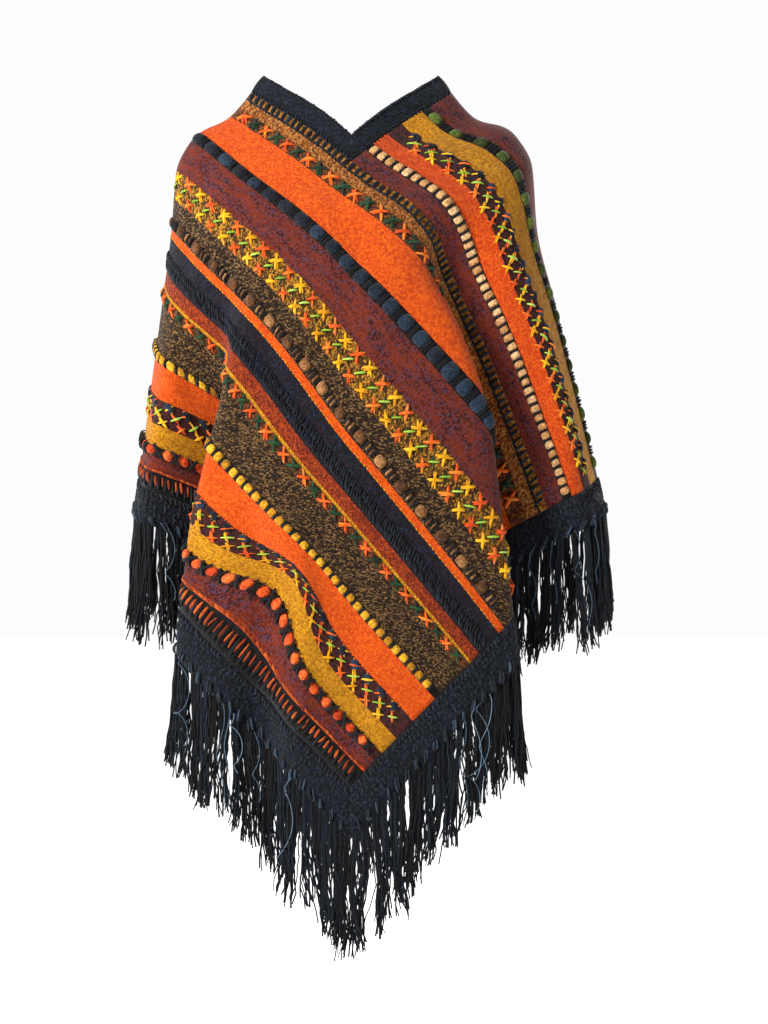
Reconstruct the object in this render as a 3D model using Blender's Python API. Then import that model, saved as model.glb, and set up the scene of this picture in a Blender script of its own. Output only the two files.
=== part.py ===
"""Andean poncho, worn and hanging open: two square striped panels on the diagonal.

Every point of the cloth has flat places p and q, in metres from the point where the two shoulder lines
would cross: p runs along the stripes and q across them. rho is the distance from that crossing and phi
the angle round it, 0 on the wearer's left shoulder line, 90 degrees on the right one, and on round the
back to 180. A worn row of equal rho is a closed ring of length pi * rho. Where the body needs less than
that, the rest is taken up by a fold on each quarter, and the height is worked out so that each line of
equal phi also keeps its length.

Axes: +X is the wearer's left, -Y the front, +Z up. The origin is the middle of the neck opening, level
with its two peaks.
"""
from collections import namedtuple
from math import pi

import bpy
import numpy as np

# ---- the cut, in metres ---------------------------------------------------------------------------
SIDE = 0.706            # from a shoulder line to the hem that faces it
NECK_TOP = 0.140        # square neck opening, to the free edge of the band
NECK_CUT = 0.165        # to the seam between band and panel
BORDER = 0.040          # navy strip along the hem
FRINGE = 0.138          # length of the hanging strands
SEAM = 0.0004           # clear gap between two pieces
WALL = 0.0024           # thickness of the striped cloth
BAND_WALL = 0.0026      # thickness of neckband and border
FRINGE_WALL = 0.0070    # thickness that the strands fill
FRINGE_FLARE = 0.008    # how far the strands' ends stand out from the hem
NECK_DIP = 0.022        # how far the neck line falls towards the two points of its V
RIGHT_TAKE_UP = 0.965   # the right arm side hangs a little shorter than its cut

# ---- the worn form: one row for each distance from the crossing -------------------------------------
Station = namedtuple("Station", "rho left right front back")
STATIONS = (
    Station(rho=0.14, left=0.099, right=0.1015, front=0.050, back=0.052),
    Station(rho=0.20, left=0.137, right=0.138, front=0.064, back=0.070),
    Station(rho=0.26, left=0.190, right=0.187, front=0.088, back=0.098),
    Station(rho=0.30, left=0.208, right=0.203, front=0.108, back=0.120),
    Station(rho=0.37, left=0.213, right=0.208, front=0.132, back=0.146),
    Station(rho=0.46, left=0.234, right=0.218, front=0.152, back=0.162),
    Station(rho=0.56, left=0.258, right=0.230, front=0.166, back=0.172),
    Station(rho=0.66, left=0.281, right=0.242, front=0.176, back=0.180),
    Station(rho=0.80, left=0.310, right=0.258, front=0.186, back=0.190),
    Station(rho=1.00, left=0.340, right=0.280, front=0.190, back=0.195),
)

# How square a quarter ring is: 1 is a straight line between its ends, 2 an ellipse.
Squareness = namedtuple("Squareness", "rho power")
YOKE = (Squareness(0.14, 1.3), Squareness(0.20, 1.5), Squareness(0.28, 1.8), Squareness(0.36, 2.1))

# The fold of each quarter: its place from 0 at the arm to 1 at the centre, its width on that scale, and
# the share of the spare cloth that it takes up.
Fold = namedtuple("Fold", "rho place width share")
LEFT_FOLD = (
    Fold(rho=0.30, place=0.66, width=0.15, share=1.00),
    Fold(rho=0.37, place=0.60, width=0.13, share=1.00),
    Fold(rho=0.46, place=0.52, width=0.11, share=1.00),
    Fold(rho=0.58, place=0.47, width=0.10, share=0.97),
    Fold(rho=0.80, place=0.47, width=0.10, share=0.95),
    Fold(rho=1.00, place=0.48, width=0.10, share=0.95),
)
RIGHT_FOLD = (
    Fold(rho=0.30, place=0.52, width=0.14, share=0.00),
    Fold(rho=0.40, place=0.52, width=0.13, share=0.15),
    Fold(rho=0.50, place=0.49, width=0.12, share=0.55),
    Fold(rho=0.60, place=0.44, width=0.10, share=1.00),
    Fold(rho=0.70, place=0.40, width=0.09, share=0.97),
    Fold(rho=1.00, place=0.38, width=0.09, share=0.95),
)
BACK_LEFT_FOLD = (
    Fold(rho=0.30, place=0.50, width=0.15, share=1.00),
    Fold(rho=0.50, place=0.46, width=0.14, share=1.00),
    Fold(rho=1.00, place=0.44, width=0.14, share=0.92),
)
BACK_RIGHT_FOLD = (
    Fold(rho=0.30, place=0.56, width=0.15, share=1.00),
    Fold(rho=0.50, place=0.51, width=0.14, share=1.00),
    Fold(rho=1.00, place=0.49, width=0.14, share=0.92),
)

# A soft trough that starts low down and deepens to the hem.
Ripple = namedtuple("Ripple", "place width depth start full")
FRONT_RIGHT_RIPPLE = Ripple(place=0.85, width=0.055, depth=0.026, start=0.72, full=0.95)
BACK_LEFT_RIPPLE = Ripple(place=0.83, width=0.060, depth=0.022, start=0.70, full=0.95)

# ---- how finely the solids are faceted -----------------------------------------------------------------
TABLE_ROWS = 70         # rings worked out between the first and last station
RING_POINTS = 260       # points along a quarter ring before it is measured
RING_STEPS = 72         # equal lengths that a quarter ring is cut into
# Facet edges run down the cloth at these angles from each shoulder line, closest where the folds are.
FACET_DEGREES = (0, 2.5, 5, 8, 10.5, 12.5, 14, 15.5, 17, 18.25, 19.5, 20.75, 22, 23.25, 24.5, 26, 27.5, 29.5, 32, 36,
                 40, 45)
# Facet edges run round it at these distances from the shoulder lines, closest at the shoulder's bend.
FACET_SIZES = (NECK_CUT, 0.188, 0.211, 0.233, 0.253, 0.271, 0.289, 0.309, 0.335, 0.37, 0.42, 0.48, 0.54, 0.60, SIDE)


def linear(hex_colour):
    """Return the linear RGBA of an sRGB hex colour."""
    channels = [int(hex_colour[i:i + 2], 16) / 255 for i in (0, 2, 4)]
    return [c / 12.92 if c <= 0.04045 else ((c + 0.055) / 1.055) ** 2.4 for c in channels] + [1.0]


def material(name, hex_colour, roughness=0.92):
    """Return a cloth material of one colour."""
    made = bpy.data.materials.new(name)
    made.use_nodes = True
    shader = made.node_tree.nodes["Principled BSDF"]
    shader.inputs["Base Color"].default_value = linear(hex_colour)
    shader.inputs["Roughness"].default_value = roughness
    shader.inputs["Metallic"].default_value = 0.0
    return made


def smooth(places, values, x):
    """Read a smooth curve through table points, with no overshoot between them."""
    places, values = np.asarray(places, float), np.asarray(values, float)
    step = np.diff(places)
    rise = np.diff(values) / step
    slope = np.empty_like(values)
    slope[0], slope[-1] = rise[0], rise[-1]
    both = rise[:-1] * rise[1:]
    slope[1:-1] = np.where(both > 0, 2 * both / np.where(both > 0, rise[:-1] + rise[1:], 1), 0)
    x = np.clip(x, places[0], places[-1])
    k = np.clip(np.searchsorted(places, x) - 1, 0, len(step) - 1)
    t, h = (x - places[k]) / step[k], step[k]
    return ((1 + 2 * t) * (1 - t) ** 2 * values[k] + t * (1 - t) ** 2 * h * slope[k]
            + t * t * (3 - 2 * t) * values[k + 1] + t * t * (t - 1) * h * slope[k + 1])


class Quarter:
    """One quarter of the worn rings, from an arm side (t = 0) to the centre line (t = 1)."""

    LEAN = 0.30             # how far a fold turns from square to the ring towards the body's middle

    def __init__(self, side, face, folds, power, ripple=None):
        self.rho = np.linspace(STATIONS[0].rho, STATIONS[-1].rho, TABLE_ROWS)
        places = [s.rho for s in STATIONS]
        self.half = smooth(places, [getattr(s, side) for s in STATIONS], self.rho)
        self.deep = smooth(places, [getattr(s, face) for s in STATIONS], self.rho)
        self.power = np.interp(self.rho, [y.rho for y in YOKE] + [0.50], [y.power for y in YOKE] + [power])
        fold_rho = [f.rho for f in folds]
        self.place = smooth(fold_rho, [f.place for f in folds], self.rho)
        self.width = smooth(fold_rho, [f.width for f in folds], self.rho)
        self.share = smooth(fold_rho, [f.share for f in folds], self.rho)
        self.ripple = ripple
        self.depth = self.fold_depths()

    def curve(self, row, depth):
        """Return x and y along one quarter ring whose fold has the given depth."""
        t = np.linspace(0, 1, RING_POINTS)
        angle = t * pi / 2
        half, deep = self.half[row], self.deep[row]
        x = half * np.cos(angle) ** (2 / self.power[row])
        y = deep * np.sin(angle) ** (2 / self.power[row])
        out_x, out_y = np.cos(angle) / half, np.sin(angle) / deep
        size = np.hypot(out_x, out_y)
        out_x, out_y = out_x / size, out_y / size
        u = (t - self.place[row]) / self.width[row]
        heading = self.place[row] * pi / 2
        fold_x, fold_y = np.cos(heading) / half + self.LEAN / deep, np.sin(heading) / deep
        inward = depth * np.exp(-abs(u) ** 2.5) / np.hypot(fold_x, fold_y)
        x, y = x - inward * fold_x, y - inward * fold_y
        if self.ripple:
            r = self.ripple
            grown = np.clip((self.rho[row] - r.start) / (r.full - r.start), 0, 1.2) ** 1.3
            inward = r.depth * grown * np.exp(-((t - r.place) / r.width) ** 2)
            x, y = x - inward * out_x, y - inward * out_y
        return x, y

    def length(self, row, depth):
        """Return the length of one quarter ring."""
        x, y = self.curve(row, depth)
        return np.hypot(np.diff(x), np.diff(y)).sum()

    def fold_depths(self):
        """Find, ring by ring, the fold depth that takes up the spare cloth, then even them out."""
        depths = []
        for row, rho in enumerate(self.rho):
            low, high = 0.0, 0.30
            for _ in range(26):
                middle = (low + high) / 2
                short = self.length(row, middle) < rho * pi / 4
                low, high = (middle, high) if short else (low, middle)
            depths.append(low * self.share[row])
        window = np.hanning(9) / np.hanning(9).sum()
        last = depths[-1] - depths[-2]
        padded = [depths[0]] * 4 + depths + [depths[-1] + last * (k + 1) for k in range(4)]
        return np.convolve(padded, window, "valid")

    def ring(self, row):
        """Return x and y at equal lengths along one quarter ring."""
        x, y = self.curve(row, self.depth[row])
        run = np.append(0, np.cumsum(np.hypot(np.diff(x), np.diff(y))))
        stops = np.linspace(0, run[-1], RING_STEPS + 1)
        return np.interp(stops, run, x), np.interp(stops, run, y)


class Drape:
    """The worn cloth's middle surface, read at flat places p and q."""

    def __init__(self):
        front_left = Quarter("left", "front", LEFT_FOLD, 2.3)
        front_right = Quarter("right", "front", RIGHT_FOLD, 2.8, FRONT_RIGHT_RIPPLE)
        back_left = Quarter("left", "back", BACK_LEFT_FOLD, 2.4, BACK_LEFT_RIPPLE)
        back_right = Quarter("right", "back", BACK_RIGHT_FOLD, 2.4)
        self.rho = front_left.rho
        rings = []
        for row in range(TABLE_ROWS):
            (ax, ay), (bx, by) = front_left.ring(row), front_right.ring(row)
            (cx, cy), (dx, dy) = back_right.ring(row), back_left.ring(row)
            x = np.concatenate([ax[:-1], -bx[:0:-1], -cx[:-1], dx[:0:-1]])
            y = np.concatenate([-ay[:-1], -by[:0:-1], cy[:-1], dy[:0:-1]])
            rings.append(np.stack([x, y], axis=1))
        plan = np.array(rings)
        phi = np.linspace(0, pi, plan.shape[1], endpoint=False)
        step = self.rho[1] - self.rho[0]
        run = (np.diff(plan, axis=0) ** 2).sum(axis=2) / step ** 2
        fall = np.sqrt(np.clip(1 - run, 0.04, 1)) * step
        right = np.clip(1 - abs(phi - pi / 2) / (pi / 7), 0, 1)
        fall = fall * (1 - (1 - RIGHT_TAKE_UP) * right * right * (3 - 2 * right))
        top = -NECK_DIP * (1 - (1 - abs(np.sin(2 * phi))) ** 2)
        height = top - np.vstack([np.zeros(len(phi)), np.cumsum(fall, axis=0)])
        self.table = np.dstack([plan, height])

    @staticmethod
    def weights(t):
        """Return the four weights of a smooth curve at share t of its middle span."""
        return ((-t + 2 * t * t - t ** 3) / 2, (2 - 5 * t * t + 3 * t ** 3) / 2,
                (t + 4 * t * t - 3 * t ** 3) / 2, (t ** 3 - t * t) / 2)

    def polar(self, rho, phi):
        """Return the points of the middle surface at distances rho and angles phi."""
        rows, columns = self.table.shape[:2]
        a = np.clip((rho - self.rho[0]) / (self.rho[1] - self.rho[0]), 0, rows - 1.001)
        b = phi / pi * columns
        i, j = np.floor(a).astype(int), np.floor(b).astype(int)
        found = 0
        for di, wi in enumerate(self.weights(a - i)):
            for dj, wj in enumerate(self.weights(b - j)):
                cell = self.table[np.clip(i + di - 1, 0, rows - 1), (j + dj - 1) % columns]
                found = found + (wi * wj)[..., None] * cell
        return found

    def point(self, p, q, back, off=0.0):
        """Return the points at flat places p and q, moved off the middle surface by off metres."""
        rho, phi = np.hypot(p, q), np.arctan2(q, p)
        phi = pi - phi if back else phi
        found = self.polar(rho, phi)
        small = 0.0015
        down = self.polar(rho + small, phi) - self.polar(rho - small, phi)
        round_ = self.polar(rho, phi + small / rho) - self.polar(rho, phi - small / rho)
        out = np.cross(round_, down)
        return found + off * out / np.linalg.norm(out, axis=-1, keepdims=True)


def fan(size, angle):
    """Return p and q on the square line at a size from the shoulder lines, at angles round the crossing."""
    size, angle = np.broadcast_arrays(size, angle)
    low = angle <= pi / 4
    p = np.where(low, size, size / np.tan(np.where(low, pi / 4, angle)))
    q = np.where(low, size * np.tan(np.where(low, angle, pi / 4)), size)
    return p, q


def side_angles():
    """Return the angles of the facet edges from a shoulder line to a centre line."""
    return np.radians(FACET_DEGREES)


def solid(name, inner, outer, finish):
    """Build one closed solid between two grids of points, with a rim round all four edges."""
    rows, columns = inner.shape[:2]
    count = rows * columns
    index = np.arange(count).reshape(rows, columns)

    def quads(a, b, c, d):
        return np.stack([a, b, c, d], axis=-1).reshape(-1, 4)

    # Facets are split between their first and third corners. The two half rims start one corner apart, so
    # that two pieces facing each other across a seam are split alike and their gap stays even.
    near = np.concatenate([index[0], index[1:, -1]])
    far = np.concatenate([index[-1, ::-1], index[-2::-1, 0]])
    faces = np.concatenate([
        quads(index[:-1, :-1], index[1:, :-1], index[1:, 1:], index[:-1, 1:]),
        quads(index[:-1, :-1], index[:-1, 1:], index[1:, 1:], index[1:, :-1]) + count,
        quads(near[1:], near[1:] + count, near[:-1] + count, near[:-1]),
        quads(far[:-1], far[1:], far[1:] + count, far[:-1] + count),
    ])
    mesh = bpy.data.meshes.new(name)
    points = np.concatenate([inner.reshape(-1, 3), outer.reshape(-1, 3)])
    mesh.from_pydata(points.tolist(), [], faces.tolist())
    mesh.validate()
    mesh.materials.append(finish)
    made = bpy.data.objects.new(name, mesh)
    bpy.context.collection.objects.link(made)
    triangulate = made.modifiers.new("Triangulate", "TRIANGULATE")
    triangulate.quad_method = "FIXED"
    return made


def build_panel(drape, back, finish):
    """Build the front or back panel as one wall, from its neck seam to its border seam."""
    size = np.array(FACET_SIZES)
    size[-1] -= BORDER + SEAM
    angle = np.concatenate([side_angles(), pi / 2 - side_angles()[-2::-1]])
    p, q = fan(size[:, None], angle[None, :])
    aside = np.array([0, SEAM / 2 if back else -SEAM / 2, 0])
    sheets = [drape.point(p, q, back, off) for off in (-WALL / 2, WALL / 2)]
    for sheet in sheets:
        sheet[:, [0, -1]] += aside
    if back:
        sheets = [sheet[:, ::-1] for sheet in sheets]
    solid("back_panel" if back else "front_panel", *sheets, finish)


def strip_points(drape, left, sizes, off):
    """Return a strip from the front point, round one side of the body, to the back point."""
    angle = side_angles()[::-1]
    angle[0] -= SEAM / sizes[-1]
    angle = angle if left else pi / 2 - angle
    p, q = fan(np.array(sizes)[:, None], angle[None, :])
    front = drape.point(p, q, False, off)
    back = drape.point(p, q, True, off)
    whole = np.concatenate([front, back[:, -2::-1]], axis=1)
    return whole[:, ::-1] if left else whole


def build_strip(drape, name, left, sizes, finish):
    """Build a neckband or border strip of one side, mitred at the front and back points."""
    inner = strip_points(drape, left, sizes, -BAND_WALL / 2)
    outer = strip_points(drape, left, sizes, BAND_WALL / 2)
    solid(name, inner, outer, finish)


def build_fringe(drape, name, left, back, finish):
    """Build the plain reach of the strands under one quarter of the hem: a hanging wall."""
    angle = side_angles()
    angle[0] += 0.5 * SEAM / SIDE
    angle[-1] -= SEAM / SIDE
    angle = angle if left else pi / 2 - angle
    p, q = fan(SIDE, angle)
    drop = np.array([0, 0, -1.0])
    sheets = []
    for off in (-FRINGE_WALL / 2, FRINGE_WALL / 2):
        edge = drape.point(p, q, back)
        out = drape.point(p, q, back, 1.0) - edge
        out[:, 2] = 0
        out /= np.linalg.norm(out, axis=1, keepdims=True)
        edge = edge + drop * (BAND_WALL + SEAM)
        sheets.append(np.stack([edge + out * off, edge + out * (off + FRINGE_FLARE) + drop * FRINGE]))
    if left == back:
        sheets = [sheet[:, ::-1] for sheet in sheets]
    solid(name, *sheets, finish)


def main():
    """Clear the scene and build every piece of the poncho."""
    for old in list(bpy.data.objects):
        bpy.data.objects.remove(old, do_unlink=True)
    drape = Drape()
    cloth = material("striped_wool", "B4501C")
    navy = material("navy_wool", "18253A")
    strands = material("navy_strands", "141E30", 0.85)
    for back in (False, True):
        build_panel(drape, back, cloth)
    for left in (True, False):
        side = "left" if left else "right"
        build_strip(drape, f"neckband_{side}", left, (NECK_TOP, NECK_CUT - SEAM), navy)
        build_strip(drape, f"border_{side}", left, (SIDE - BORDER, SIDE), navy)
        for back in (False, True):
            build_fringe(drape, f"fringe_{'back' if back else 'front'}_{side}", left, back, strands)


main()
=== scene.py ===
"""Andean poncho as it hangs when worn: striped wool cloth, laid yarn stitched on it, navy bands and fringe.

Every point of the cloth has flat places p and q, in metres from the point where the two shoulder lines
would cross: p runs along the stripes and q across them. A third place, h, is the height off the middle of
the cloth. All stitches are worked out at these flat places and then carried onto the worn cloth.
"""
from __future__ import annotations

import logging
from dataclasses import dataclass, field
from enum import Enum
from math import pi, radians

import bpy
import numpy as np
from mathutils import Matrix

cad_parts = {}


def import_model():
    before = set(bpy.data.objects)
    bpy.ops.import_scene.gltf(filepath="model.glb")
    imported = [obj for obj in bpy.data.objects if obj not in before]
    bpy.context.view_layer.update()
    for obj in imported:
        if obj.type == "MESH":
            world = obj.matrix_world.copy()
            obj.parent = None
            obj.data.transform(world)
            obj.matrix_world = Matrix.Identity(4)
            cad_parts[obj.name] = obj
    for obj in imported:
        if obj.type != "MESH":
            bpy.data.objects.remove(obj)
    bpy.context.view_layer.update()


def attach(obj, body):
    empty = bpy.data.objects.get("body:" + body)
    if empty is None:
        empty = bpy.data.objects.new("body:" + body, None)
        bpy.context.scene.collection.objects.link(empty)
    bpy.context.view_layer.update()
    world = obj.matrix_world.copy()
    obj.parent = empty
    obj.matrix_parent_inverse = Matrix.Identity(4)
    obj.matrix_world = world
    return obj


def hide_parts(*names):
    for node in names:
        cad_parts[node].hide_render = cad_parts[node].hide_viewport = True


LOG = logging.getLogger("poncho")

# ---- the cut, in metres --------------------------------------------------------------------------
SIDE = 0.706            # from a shoulder line to the hem that faces it
NECK_TOP = 0.140        # square neck opening, to the free edge of the band
NECK_CUT = 0.165        # to the seam between band and panel
BORDER = 0.040          # navy strip along the hem
FRINGE = 0.138          # length of the hanging strands
WALL = 0.0024           # thickness of the cloth
GAP = 0.0006            # clear gap between two pieces
NECK_DIP = 0.022        # how far the neck line falls towards the points of its V
RIGHT_TAKE_UP = 0.965   # the right arm side hangs a little shorter than its cut


def linear(hex_colour: str) -> tuple[float, float, float, float]:
    """Turn an sRGB hex colour to linear RGBA.

    Args:
        hex_colour: six hex digits.

    Returns:
        Red, green, blue and alpha, where a channel c is c / 12.92 when it is small and otherwise
        ((c + 0.055) / 1.055) to the power 2.4.
    """
    channels = [int(hex_colour[i:i + 2], 16) / 255 for i in (0, 2, 4)]
    red, green, blue = [c / 12.92 if c <= 0.04045 else ((c + 0.055) / 1.055) ** 2.4 for c in channels]
    return red, green, blue, 1.0


def add_node(tree: bpy.types.NodeTree, kind: str, settings: dict | None = None,
             links: dict | None = None) -> bpy.types.Node:
    """Add one node with its settings and links.

    Args:
        tree: the tree that takes the node.
        kind: the node's type name.
        settings: a lower case name sets a property, any other sets that input's value, and "stops" fills a
            colour ramp with pairs of place and hex colour.
        links: the output socket that feeds each named input.

    Returns:
        The new node.
    """
    made = tree.nodes.new(kind)
    for key, value in (settings or {}).items():
        if key == "stops":
            elements = made.color_ramp.elements
            for place, shade in value[1:-1]:
                elements.new(place).color = linear(shade)
            for element, (place, shade) in ((elements[0], value[0]), (elements[-1], value[-1])):
                element.position, element.color = place, linear(shade)
        elif isinstance(key, str) and key.islower():
            setattr(made, key, value)
        else:
            made.inputs[key].default_value = value
    for key, socket in (links or {}).items():
        tree.links.new(socket, made.inputs[key])
    return made


# ---- finishes ------------------------------------------------------------------------------------
@dataclass(frozen=True)
class Knit:
    """Machine-knit wool cloth: rows of small loops, each its own shade, with a soft drift of dye.

    The loops give the eye a fine grain of raised dots, with painted shade darkening the colour in the gaps
    between them, and the sheen is the fuzz of the wool.
    """

    name: str
    shades: tuple[str, ...]             # hex colours from the darkest loop to the lightest
    drift: str                          # hex colour that the dye drifts to
    drift_share: float = 0.35           # how far it drifts
    drift_length: float = 0.030         # metres along the stripe
    loop: tuple[float, float] = (0.0021, 0.0018)    # along and across, as coarse as it needs to show
    depth: float = 0.0007               # height of a loop in metres
    painted_gap_shade: float = 0.45             # painted shade: brightness of the colour in the gaps between loops
    scatter: float = 0.40               # how uneven the loops lie
    slant: float = 0.0                  # degrees that the loops' rows turn from the stripe

    def material(self) -> bpy.types.Material:
        """Build the cloth's nodes on its own flat places, in metres.

        Returns:
            The material.
        """
        made = bpy.data.materials.new(self.name)
        made.use_nodes = True
        tree = made.node_tree
        shader = tree.nodes["Principled BSDF"]
        flat = add_node(tree, "ShaderNodeUVMap", {"uv_map": "flat"}).outputs["UV"]
        turned = add_node(tree, "ShaderNodeMapping", {"Rotation": (0, 0, radians(self.slant))},
                          {"Vector": flat})
        loops = add_node(tree, "ShaderNodeMapping", {"Scale": (1 / self.loop[0], 1 / self.loop[1], 1)},
                         {"Vector": turned.outputs[0]})
        cell = add_node(tree, "ShaderNodeTexVoronoi",
                        {"voronoi_dimensions": "2D", "Scale": 1.0, "Randomness": self.scatter},
                        {"Vector": loops.outputs[0]})
        count = len(self.shades) - 1
        stops = [(0.22 + 0.56 * k / count, shade) for k, shade in enumerate(self.shades)]
        shade = add_node(tree, "ShaderNodeValToRGB", {"stops": stops}, {"Fac": cell.outputs["Color"]})
        long = add_node(tree, "ShaderNodeMapping",
                        {"Scale": (1 / self.drift_length, 3 / self.drift_length, 1)}, {"Vector": flat})
        cloud = add_node(tree, "ShaderNodeTexNoise", {"Scale": 1.0, "Detail": 4.0, "Roughness": 0.65},
                         {"Vector": long.outputs[0]})
        amount = add_node(tree, "ShaderNodeMapRange",
                          {"From Min": 0.42, "From Max": 0.66, "To Min": 0.0, "To Max": self.drift_share},
                          {"Value": cloud.outputs["Fac"]})
        dyed = add_node(tree, "ShaderNodeMix", {"data_type": "RGBA", 7: linear(self.drift)},
                        {0: amount.outputs[0], 6: shade.outputs["Color"]})
        # Painted shade: the colour darkens from each loop's middle towards the gaps between loops.
        painted_groove_shading = add_node(tree, "ShaderNodeMapRange",
                          {"From Min": 0.30, "From Max": 0.72, "To Min": 1.0, "To Max": self.painted_gap_shade},
                          {"Value": cell.outputs["Distance"]})
        shaded = add_node(tree, "ShaderNodeMix", {"data_type": "RGBA", "blend_type": "MULTIPLY", 0: 1.0},
                          {6: dyed.outputs[2], 7: painted_groove_shading.outputs[0]})
        fuzz = add_node(tree, "ShaderNodeTexNoise", {"Scale": 2.6, "Detail": 3.0},
                        {"Vector": loops.outputs[0]})
        height = add_node(tree, "ShaderNodeMath", {"operation": "SUBTRACT"},
                          {0: fuzz.outputs["Fac"], 1: cell.outputs["Distance"]})
        bump = add_node(tree, "ShaderNodeBump", {"Strength": 0.75, "Distance": self.depth},
                        {"Height": height.outputs[0]})
        tree.links.new(shaded.outputs[2], shader.inputs["Base Color"])
        tree.links.new(bump.outputs[0], shader.inputs["Normal"])
        shader.inputs["Roughness"].default_value = 0.93
        shader.inputs["Specular IOR Level"].default_value = 0.18
        shader.inputs["Sheen Weight"].default_value = 0.10
        shader.inputs["Sheen Roughness"].default_value = 0.5
        return made


class Lay(Enum):
    """How a yarn is made up."""

    TWISTED = "plied, so that its strands wind round it"
    LOOPED = "curled into small loops, as in a thick fluffy cord"


@dataclass(frozen=True)
class Yarn:
    """Wool yarn laid on the cloth or hanging free, with a fuzzy, mostly dull surface.

    Twisted yarn shows slanting plies and looped yarn a bubbly grain, with painted shade in the grooves and a
    faint painted highlight on the crests. Each strand has its own tone.
    """

    name: str
    dark: str
    middle: str
    light: str
    lay: Lay = Lay.TWISTED
    grain: float = 0.0015       # metres from one ply or loop to the next
    depth: float = 0.0005       # height of a ply or loop in metres
    sheen: float = 0.10

    def material(self) -> bpy.types.Material:
        """Build the yarn's nodes on the strand's own length and girth, in metres.

        Returns:
            The material.
        """
        made = bpy.data.materials.new(self.name)
        made.use_nodes = True
        tree = made.node_tree
        shader = tree.nodes["Principled BSDF"]
        tone = add_node(tree, "ShaderNodeAttribute", {"attribute_name": "tone"})
        place = add_node(tree, "ShaderNodeTexCoord").outputs["Object"]
        fuzz = add_node(tree, "ShaderNodeTexNoise",
                        {"Scale": 0.45 / self.grain, "Detail": 4.0, "Roughness": 0.7},
                        {"Vector": place})
        mixed = add_node(tree, "ShaderNodeMath", {"operation": "MULTIPLY_ADD", 1: 0.55},
                         {0: tone.outputs["Fac"], 2: fuzz.outputs["Fac"]})
        shade = add_node(tree, "ShaderNodeValToRGB",
                         {"stops": [(0.40, self.dark), (0.75, self.middle), (1.0, self.light)]},
                         {"Fac": mixed.outputs[0]})
        if self.lay is Lay.TWISTED:
            flat = add_node(tree, "ShaderNodeUVMap", {"uv_map": "flat"}).outputs["UV"]
            slant = add_node(tree, "ShaderNodeMapping", {"Rotation": (0, 0, radians(38))}, {"Vector": flat})
            # A wave of scale 1 repeats every 0.314 units.
            grain = add_node(tree, "ShaderNodeTexWave", {"Scale": 0.314 / self.grain, "Distortion": 1.5,
                                                         "Detail": 2.0, "Detail Scale": 1.5},
                             {"Vector": slant.outputs[0]}).outputs["Fac"]
            # Painted shade and highlight: the colour darkens in the grooves between plies and lightens a
            # little on their crests.
            painted_groove_shading = add_node(tree, "ShaderNodeMapRange", {"To Min": 0.62, "To Max": 1.05}, {"Value": grain})
        else:
            loop = add_node(tree, "ShaderNodeTexVoronoi", {"Scale": 1 / self.grain, "Randomness": 0.9},
                            {"Vector": place})
            grain = add_node(tree, "ShaderNodeMath", {"operation": "SUBTRACT", 0: 1.0},
                             {1: loop.outputs["Distance"]}).outputs[0]
            # Painted shade and highlight: each loop's colour darkens towards its edges and lightens a little
            # at its middle.
            painted_groove_shading = add_node(tree, "ShaderNodeMapRange",
                              {"From Min": 0.25, "From Max": 0.8, "To Min": 0.50, "To Max": 1.10},
                              {"Value": grain})
        shaded = add_node(tree, "ShaderNodeMix", {"data_type": "RGBA", "blend_type": "MULTIPLY", 0: 1.0},
                          {6: shade.outputs["Color"], 7: painted_groove_shading.outputs[0]})
        height = add_node(tree, "ShaderNodeMath", {"operation": "MULTIPLY_ADD", 1: 0.4},
                          {0: fuzz.outputs["Fac"], 2: grain})
        bump = add_node(tree, "ShaderNodeBump", {"Strength": 0.7, "Distance": self.depth},
                        {"Height": height.outputs[0]})
        tree.links.new(shaded.outputs[2], shader.inputs["Base Color"])
        tree.links.new(bump.outputs[0], shader.inputs["Normal"])
        shader.inputs["Roughness"].default_value = 0.88
        shader.inputs["Specular IOR Level"].default_value = 0.22
        shader.inputs["Sheen Weight"].default_value = self.sheen
        shader.inputs["Sheen Roughness"].default_value = 0.5
        return made


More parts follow.
